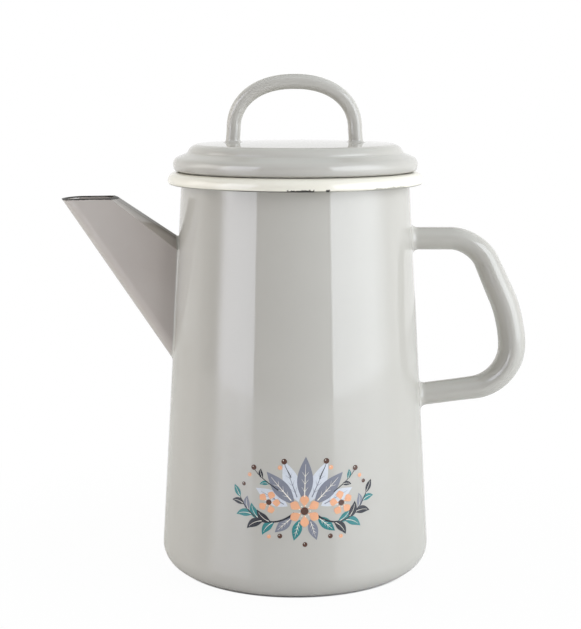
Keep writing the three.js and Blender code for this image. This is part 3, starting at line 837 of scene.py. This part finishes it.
# Places are (along the wall, up) in millimetres from the middle of the spray
spray = {
    "centre": (3.4, 45.5),
    "lowFace": 0.01,  # how far the sheets' lower faces stand above the wall
    "fan": [  # start, direction in degrees, length, width, ink
        ((-7, -1), 152, 16.5, 6.4, "pale"), ((-4, 0), 131, 19, 7.0, "slate"),
        ((-2, 1), 110, 20, 7.2, "pale"), ((0.5, 1), 88, 20.5, 7.2, "slate"), ((3, 1), 66, 20, 7.2, "pale"),
        ((5, 0), 46, 19, 7.0, "slate"), ((8, -1), 26, 16.5, 6.4, "pale"),
        ((-5, -6), 222, 10.5, 4.6, "slate"), ((-1.5, -7), 254, 10, 4.4, "teal"),
        ((3, -7), 288, 10, 4.4, "slate"), ((6.5, -6), 320, 10.5, 4.6, "teal"),
    ],
    "stems": {  # four control points, stem width, then leaves: (place along it, side, length, width, ink)
        "left": ([(-4, -4), (-12, -11), (-23, -10), (-29, 2)], 0.9, [
            (0.34, 1, 8.4, 3.8, "teal"), (0.40, -1, 8.4, 3.6, "navy"), (0.52, 1, 9.0, 3.9, "navy"),
            (0.60, -1, 8.0, 3.5, "teal"), (0.72, 1, 8.0, 3.5, "teal"), (0.80, -1, 6.8, 3.0, "slate"),
            (0.90, 1, 6.2, 2.8, "navy"), (1.0, 0, 6.2, 2.7, "teal"),
        ]),
        "right": ([(5, -4), (13, -12), (24, -10), (30, 3)], 0.9, [
            (0.34, -1, 8.4, 3.8, "navy"), (0.41, 1, 8.4, 3.6, "teal"), (0.52, -1, 9.0, 3.9, "teal"),
            (0.60, 1, 8.0, 3.5, "navy"), (0.72, -1, 8.0, 3.5, "navy"), (0.80, 1, 6.8, 3.0, "slate"),
            (0.90, -1, 6.2, 2.8, "teal"), (1.0, 0, 6.4, 2.7, "navy"),
        ]),
        "sprigLeft": ([(-11, 6), (-15, 9), (-19, 11), (-22, 15)], 0.5, [
            (0.35, 1, 4.6, 2.0, "teal"), (0.62, -1, 4.6, 2.0, "navy"),
        ]),
        "sprigRight": ([(14, 5), (18, 8), (21, 10), (24, 14)], 0.5, [
            (0.35, -1, 4.6, 2.0, "navy"), (0.62, 1, 4.6, 2.0, "teal"),
        ]),
        "berriesLeft": ([(-5.5, 12), (-6, 14), (-8, 16), (-8.4, 18.4)], 0.4, []),
        "berriesRight": ([(7.4, 11), (8, 14), (10, 16), (10.4, 18.4)], 0.4, []),
    },
    "stemSteps": 20, "stemTaper": 0.55,
    "leafAngle": 40,
    "leafBow": 0.12,  # sideways curve, as a share of the length
    "vein": (0.03, 0.03),  # half width: share of the leaf's width at the foot, millimetres at the tip
    "sideVein": (0.07, 0.02),  # half width in millimetres that is lost towards the tip, and that is left
    "sideVeinsAt": (4, 7, 10), "sideVeinTurn": 0.6, "sideVeinStep": 0.12, "sideVeinsFrom": 4,
    "blossoms": [  # place, radius, petals, first angle
        ((0.6, -3.2), 7.4, 6, 90), ((-15.5, 0.6), 5.2, 5, 70), ((17.5, -0.2), 5.6, 5, 100),
    ],
    "berries": [  # place, radius, ink
        ((-8.5, 19.2), 1.3, "brown"), ((-10.4, 16.4), 1.0, "peach"), ((10.5, 19.2), 1.3, "brown"),
        ((12.6, 16.2), 1.0, "peach"), ((-22.4, 16.0), 1.2, "brown"), ((-24.4, 12.6), 0.9, "peach"),
        ((24.4, 15.0), 1.2, "brown"), ((26.6, 11.4), 0.9, "peach"), ((-27.2, 8.2), 0.9, "brown"),
        ((28.6, 8.6), 0.9, "brown"), ((-10.5, -14.6), 1.1, "brown"), ((12.4, -15.0), 1.1, "brown"),
        ((-15.5, -15.0), 0.9, "peach"), ((17.4, -15.4), 0.9, "peach"), ((0.8, -18.4), 1.1, "brown"),
    ],
    # shares of a blossom's radius; the petals divide their width between them
    "petal": {"from": 0.2, "length": 0.8, "width": 3.276, "blunt": 1.5},
    "heart": 0.24, "seeds": 9, "seedRing": 0.34, "seed": 0.04,
    "glint": (-0.3, 0.35, 0.18),  # place and radius of a berry's light spot, as shares of its radius
}


def bezier(controls, t):
    a, b, c, d = (Vector(point) for point in controls)
    r = 1 - t
    return a * r ** 3 + b * (3 * r * r * t) + c * (3 * r * t * t) + d * t ** 3


def stroke(bm, spine, halfWidths, across=2):
    # a flat ribbon along a line, made from a grid
    last = len(spine) - 1
    grid = bmesh.ops.create_grid(bm, x_segments=last, y_segments=across, size=1)["verts"]
    for vert in grid:
        i = round((vert.co.x + 1) / 2 * last)
        along = spine[min(i + 1, last)] - spine[max(i - 1, 0)]
        side = Vector((-along.y, along.x)).normalized()
        place = spine[i] + side * (halfWidths[i] * vert.co.y)
        vert.co = (place.x, place.y, 0)


def turnedBy(angle, length):
    return Vector((math.cos(angle), math.sin(angle))) * length


def leaf(start, angle, length, width, bow, ink, steps=18, blunt=0.9):
    spine, widths = [], []
    for i in range(steps + 1):
        t = i / steps
        spine.append(start + turnedBy(angle, length * t) + turnedBy(angle + math.pi / 2, bow * hump(t)))
        widths.append(width / 2 * math.sin(math.pi * t ** blunt))
    stroke(sheets[ink], spine, widths, across=6)
    return spine


def veinedLeaf(start, angle, length, width, bow, ink):
    spine = leaf(start, angle, length, width, bow, ink)
    sheet = sheets["slate" if ink == "pale" else "cream"]
    share, tip = spray["vein"]
    stroke(sheet, spine[2:16], [width * share * (1 - i / 15) + tip for i in range(14)])
    if width < spray["sideVeinsFrom"]:
        return
    lost, left = spray["sideVein"]
    for i in spray["sideVeinsAt"]:
        for side in (1, -1):
            aim = angle + side * spray["sideVeinTurn"]
            run = [spine[i] + turnedBy(aim, width * spray["sideVeinStep"] * k) for k in range(4)]
            stroke(sheet, run, [lost * (1 - k / 4) + left for k in range(4)])


def dot(ink, place, radius, segments=20):
    matrix = Matrix.Translation((place[0], place[1], 0))
    bmesh.ops.create_circle(sheets[ink], cap_ends=True, segments=segments, radius=radius, matrix=matrix)


sheets = {ink: bmesh.new() for ink in inks}
for start, angle, length, width, ink in spray["fan"]:
    veinedLeaf(Vector(start), math.radians(angle), length, width, 0, ink)
for controls, width, leaves in spray["stems"].values():
    shares = [i / spray["stemSteps"] for i in range(spray["stemSteps"] + 1)]
    line = [bezier(controls, share) for share in shares]
    stroke(sheets["navy"], line, [width / 2 * (1 - spray["stemTaper"] * share) for share in shares])
    for share, side, length, leafWidth, ink in leaves:
        start = bezier(controls, share)
        ahead = bezier(controls, min(share + 0.02, 1)) - bezier(controls, share - 0.02)
        angle = math.atan2(ahead.y, ahead.x) + side * math.radians(spray["leafAngle"])
        veinedLeaf(start, angle, length, leafWidth, -side * length * spray["leafBow"], ink)
petal = spray["petal"]
for place, radius, petals, first in spray["blossoms"]:
    centre = Vector(place)
    for k in range(petals):
        angle = math.radians(first + 360 * k / petals)
        start = centre + turnedBy(angle, radius * petal["from"])
        length, width = radius * petal["length"], radius * petal["width"] / petals
        leaf(start, angle, length, width, 0, "peach", steps=12, blunt=petal["blunt"])
    dot("brown", place, radius * spray["heart"])
    for k in range(spray["seeds"]):
        seed = centre + turnedBy(math.tau * k / spray["seeds"], radius * spray["seedRing"])
        dot("cream", seed, radius * spray["seed"], segments=8)
along, up, size = spray["glint"]
for place, radius, ink in spray["berries"]:
    dot(ink, place, radius)
    dot("cream", (place[0] + radius * along, place[1] + radius * up), radius * size, segments=8)


def printedInk(name, colour):
    look = inkLook
    material, bench, place = startMaterial(name)
    wash = bench.noise(place, look["washScale"], 2.0).step(*look["washFade"]) * look["wash"]
    grain = bench.noise(place, look["grainScale"], 1.0).step(*look["grainFade"]) * look["grain"]
    paler = tuple(min(1, value * look["palerTimes"] + look["palerPlus"]) for value in colour[:3]) + (1,)
    shader = bench.node("BsdfPrincipled", None, {
        "Base Color": bench.mixed((wash + grain).smaller(1.0), colour, paler),
        "Roughness": look["roughness"], "IOR": look["glassiness"],
    })
    bench.finish("Material", shader)
    material.diffuse_color = colour
    return material


for ink, (colour, stands) in inks.items():
    sheet = sheets[ink]
    bmesh.ops.remove_doubles(sheet, verts=sheet.verts, dist=0.004)
    sheet.normal_update()
    copied = bmesh.ops.extrude_face_region(sheet, geom=sheet.faces[:], use_keep_orig=True)["geom"]
    raised = {item for item in copied if isinstance(item, bmesh.types.BMVert)}
    for vert in sheet.verts:
        along, up = vert.co.x + spray["centre"][0], vert.co.y + spray["centre"][1]
        radius = wallRadius(up) + (stands if vert in raised else spray["lowFace"])
        vert.co = (radius * math.sin(along / radius), -radius * math.cos(along / radius), up)
    bmesh.ops.recalc_face_normals(sheet, faces=sheet.faces)
    printed = makeObject("print" + ink.capitalize(), sheet)
    settle(printed, None, "pot", "grey_enamel", printedInk("ink" + ink.capitalize(), colour))
print("print done")

# Floor: a round table top that fades to plain white where only the camera looks at it
table = {
    "radius": 1.0, "colour": (0.82, 0.82, 0.82, 1), "roughness": 0.3, "white": 0.97,
    "fade": (0.1, 0.25), "contact": (0.0562, 0.0575),  # metres from the pot's axis
}

floorBm = bmesh.new()
bmesh.ops.create_circle(floorBm, cap_ends=True, segments=96, radius=table["radius"] / mm)
floor = makeObject("floor", floorBm)
floorMaterial, bench, place = startMaterial("tableTop")
distance = bench.node("VectorMath", {"operation": "LENGTH"}, {0: place}, "Value")
seen = bench.node("LightPath", output="Is Camera Ray")
whiteness = table["white"] + (1 - table["white"]) * distance.step(*table["fade"])
whiteness = seen * whiteness * distance.step(*table["contact"])
satin = bench.node("BsdfPrincipled", None, {"Base Color": table["colour"], "Roughness": table["roughness"]})
glow = bench.node("Emission", None, {"Color": (1, 1, 1, 1), "Strength": 1.0})
bench.finish("Material", bench.node("MixShader", None, {0: whiteness, 1: satin, 2: glow}))
floor.data.materials.append(floorMaterial)

# World: white where it is looked at. Gloss shows a pale backdrop at the back, a dimmer room at the front, a
# soft ceiling and a bright pane at the front left. Plain light comes from the back more than the front.
surroundings = {
    "backdrop": (1, 1, 1, 1), "room": (0.18, 0.18, 0.18, 1),
    "ceiling": (0.45, 0.46, 0.46, 1), "pane": (3.5, 3.6, 4.1, 1),
    "backLight": (0.6, 0.59, 0.5, 1), "roomLight": (0.135, 0.11, 0.095, 1),
    "turn": (-0.1, 0.35),  # from front to back, as the direction's share along +Y
    "backdropEdge": (0.3, 0.5), "sidesHigher": 1.4, "ceilingEdge": (0.55, 0.8),  # shares upwards
    "paneSides": (-1.29, -0.63), "sidesSoft": 0.02,  # radians from the front
    "paneHeights": (0.22, 0.66), "footSoft": 0.03, "headSoft": 0.05,
}

world = bpy.data.worlds.new("studio")
bpy.context.scene.world = world
bench = Bench(world)
looked = bench.node("LightPath", output="Is Camera Ray")
mirrored = bench.node("LightPath", output="Is Glossy Ray")
through = bench.node("LightPath", output="Is Transmission Ray")
direction = bench.node("TexCoord", output="Generated")
aside, depth, up = bench.axes(direction)
behind = depth.step(*surroundings["turn"])
above = (up - aside.unsigned() * surroundings["sidesHigher"]).step(*surroundings["backdropEdge"])


def past(value, edge, soft):
    return value.step(edge - soft, edge + soft)


bearing = aside.bearing(0 - depth)
(left, right), (foot, head) = surroundings["paneSides"], surroundings["paneHeights"]
sidesSoft, footSoft, headSoft = (surroundings[key] for key in ("sidesSoft", "footSoft", "headSoft"))
opening = past(bearing, left, sidesSoft) * (1 - past(bearing, right, sidesSoft))
opening = opening * past(up, foot, footSoft) * (1 - past(up, head, headSoft))
backdrop, room, pane, ceiling, backLight, roomLight = (
    bench.node("Background", None, {"Color": surroundings[key], "Strength": 1.0})
    for key in ("backdrop", "room", "pane", "ceiling", "backLight", "roomLight")
)
light = bench.node("MixShader", None, {0: behind, 1: roomLight, 2: backLight})
mirror = bench.node("MixShader", None, {0: behind * (1 - above), 1: room, 2: backdrop})
mirror = bench.node("MixShader", None, {0: up.step(*surroundings["ceilingEdge"]), 1: mirror, 2: ceiling})
mirror = bench.node("MixShader", None, {0: opening, 1: mirror, 2: pane})
unlit = bench.node("MixShader", None, {0: mirrored.larger(through), 1: light, 2: mirror})
bench.finish("World", bench.node("MixShader", None, {0: looked, 1: unlit, 2: backdrop}))

# Softboxes stand upright round the pot: azimuth in degrees from the front towards the handle, and distance,
# width and heights in metres. The colour is how bright the face shines. The face fades at both ends, upward
# over its height and outward over its width, away from the front: each end has its level and the two shares
# between which it turns into the full one or back.
softboxes = {
    "keyRight": {"azimuth": 72, "distance": 1.1, "width": 1.76, "low": -0.25, "high": 1.25,
                 "colour": (3.72, 3.92, 4.16), "upward": ((0.78, 0, 0.45), (1, 0.9, 1.0)),
                 "outward": ((1, 0, 0.1), (0.02, 0.48, 0.88))},
    "stripLeft": {"azimuth": -58.5, "distance": 1.1, "width": 0.86, "low": -0.25, "high": 0.45,
                  "colour": (3.3, 3.4, 3.8), "upward": ((0.78, 0, 0.45), (0, 0.6, 1.0)),
                  "outward": ((0.85, 0, 0.3), (0, 0.66, 1.0))},
    "backLeft": {"azimuth": -90, "distance": 1.1, "width": 1.3, "low": 0.2, "high": 0.97,
                 "colour": (2.6, 2.55, 2.45), "upward": ((0.7, 0, 0.3), (1, 0.9, 1.0)),
                 "outward": ((0.4, 0, 0.3), (0, 0.6, 1.0))},
}
overhead = {"height": 1.4, "width": 2.2, "colour": (0.39, 0.45, 0.49)}


def faded(place, near, far):
    nearLevel, nearStart, nearEnd = near
    farLevel, farStart, farEnd = far
    rising = nearLevel + place.step(nearStart, nearEnd) * (1 - nearLevel)
    return rising * (1 - place.step(farStart, farEnd) * (1 - farLevel))


def addLamp(name, width, height, colour, place, facing):
    lamp = bpy.data.lights.new(name, "AREA")
    lamp.shape = "RECTANGLE"
    lamp.size = width
    lamp.size_y = height
    lamp.color = [value / max(colour) for value in colour]
    lamp.energy = max(colour) * math.pi * width * height
    holder = bpy.data.objects.new(name, lamp)
    holder.location = place
    holder.rotation_euler = facing.to_track_quat("-Z", "Y").to_euler()
    holder.visible_camera = False
    bpy.context.scene.collection.objects.link(holder)
    return lamp


for name, box in softboxes.items():
    bearing = math.radians(box["azimuth"])
    outward = Vector((math.sin(bearing), -math.cos(bearing), 0))
    middle = outward * box["distance"] + Vector((0, 0, (box["high"] + box["low"]) / 2))
    lamp = addLamp(name, box["width"], box["high"] - box["low"], box["colour"], middle, -outward)
    bench = Bench(lamp)
    across, upward, _ = bench.axes(bench.node("NewGeometry", output="Parametric"))
    away = across if box["azimuth"] > 0 else 1 - across
    shine = faded(upward, *box["upward"]) * faded(away, *box["outward"])
    bench.finish("Light", bench.node("Emission", None, {"Strength": shine}))
addLamp(
    "overhead", overhead["width"], overhead["width"], overhead["colour"],
    Vector((0, 0, overhead["height"])), Vector((0, 0, -1)),
)
print("table and lamps done")
